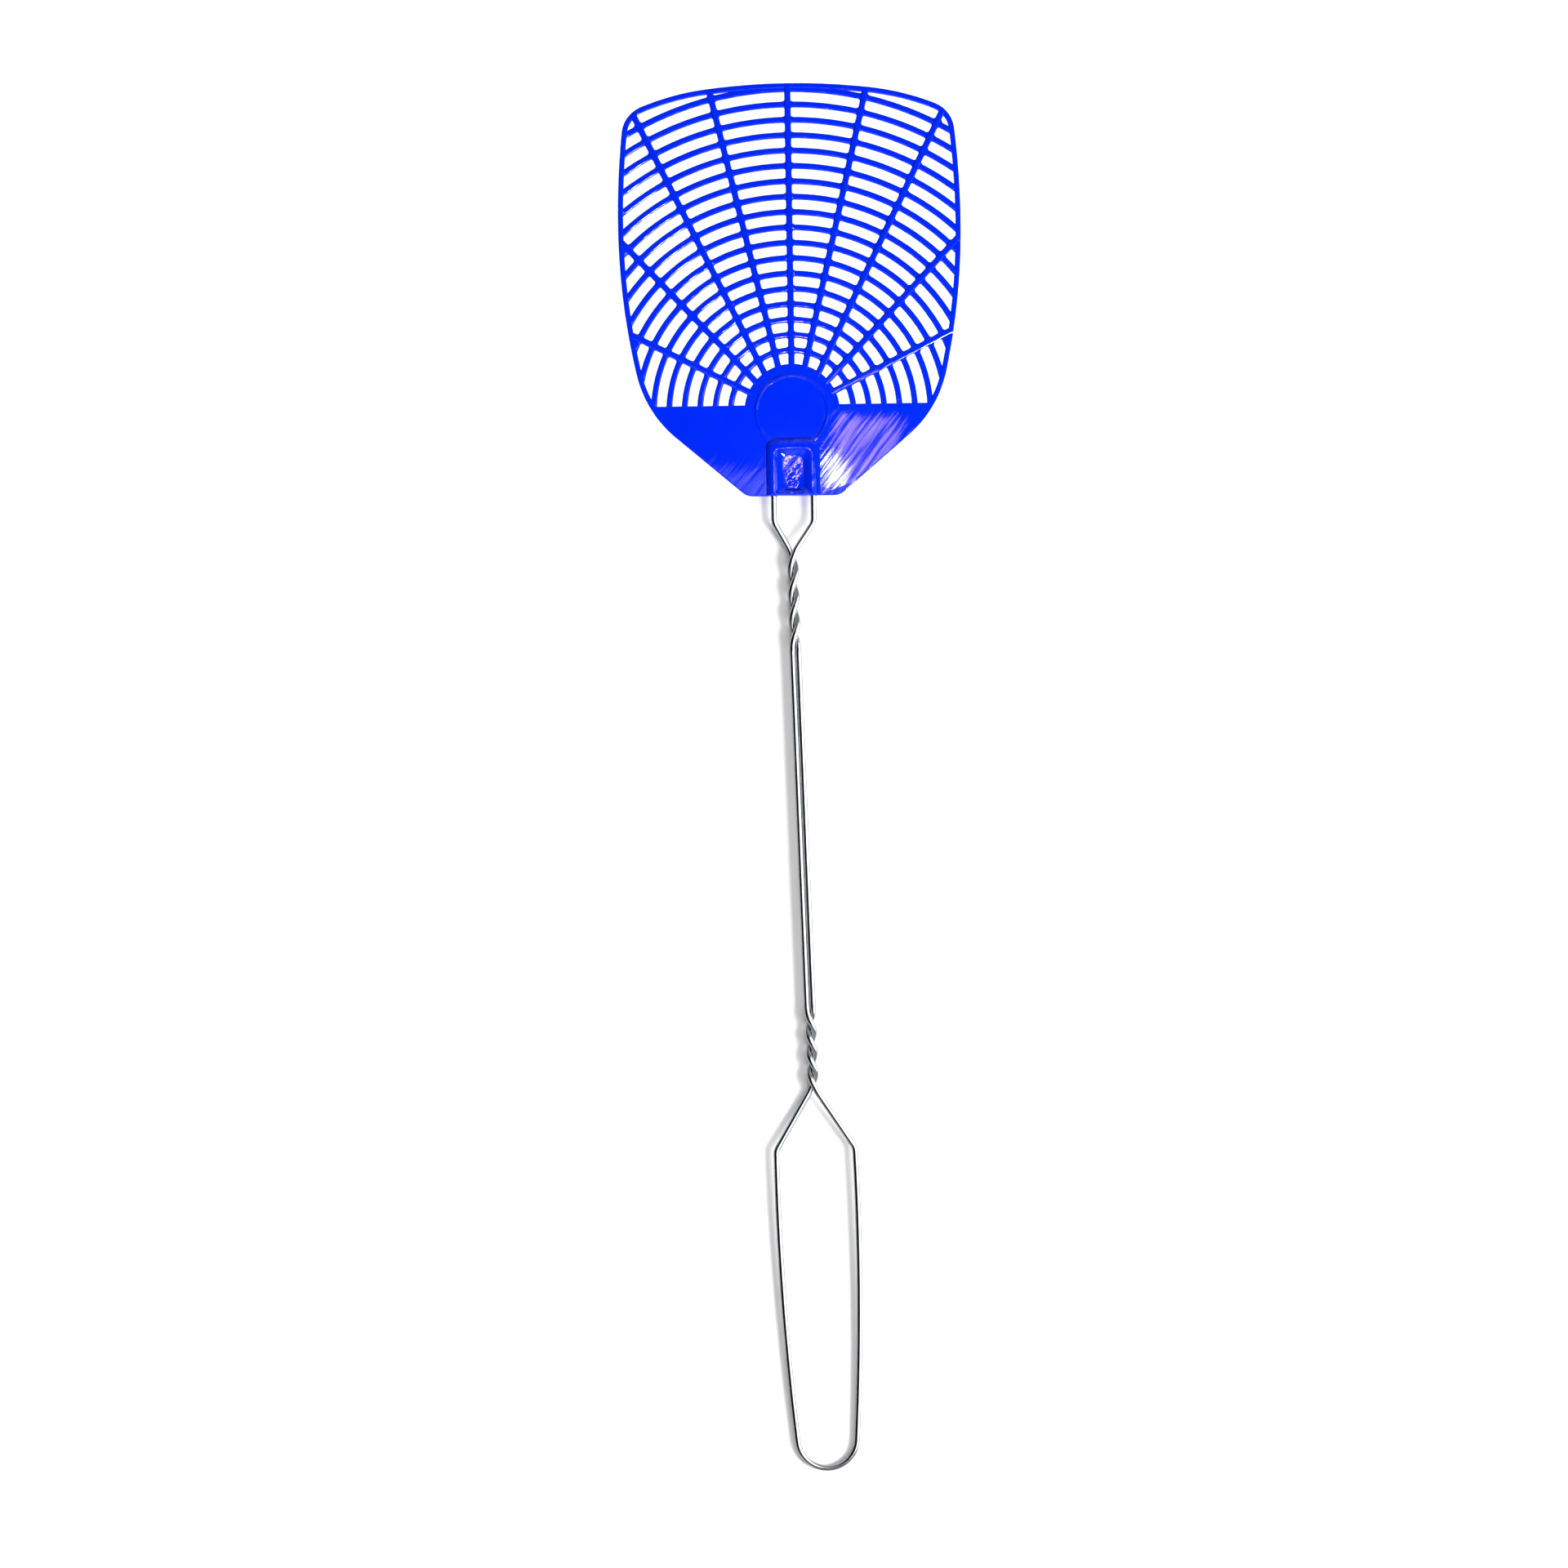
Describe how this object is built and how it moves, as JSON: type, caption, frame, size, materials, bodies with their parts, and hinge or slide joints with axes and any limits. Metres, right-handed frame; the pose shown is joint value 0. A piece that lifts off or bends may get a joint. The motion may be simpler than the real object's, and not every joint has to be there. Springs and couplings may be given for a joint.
{
  "type": "fly swatter",
  "caption": "Flat slotted plastic blade on a twisted steel wire handle with a long grip loop, for swatting flies.",
  "frame": {"origin": "on the blade's axis of symmetry, half way along the overall length, level with the boss's flat back", "axes": "+Y towards the blade's tip, +Z out of the side with the boss, +X to the right of that side"},
  "size_m": [0.1132, 0.4584, 0.0047],
  "materials": {
    "blade_plastic": "glossy injection-moulded polyethylene, strong blue right through",
    "wire_steel": "bright zinc-plated drawn steel wire"
  },
  "bodies": {
    "handle": {"fork_legs": "wire_steel", "upper_twist": "wire_steel", "shaft": "wire_steel", "lower_twist": "wire_steel", "grip_loop": "wire_steel"},
    "blade": {"swatter_blade": "blade_plastic"}
  },
  "joints": [
    {"name": "blade_pull", "type": "slide", "parent": "handle", "child": "blade", "axis": [0, 1, 0], "range_m": [0, 0.016]}
  ]
}
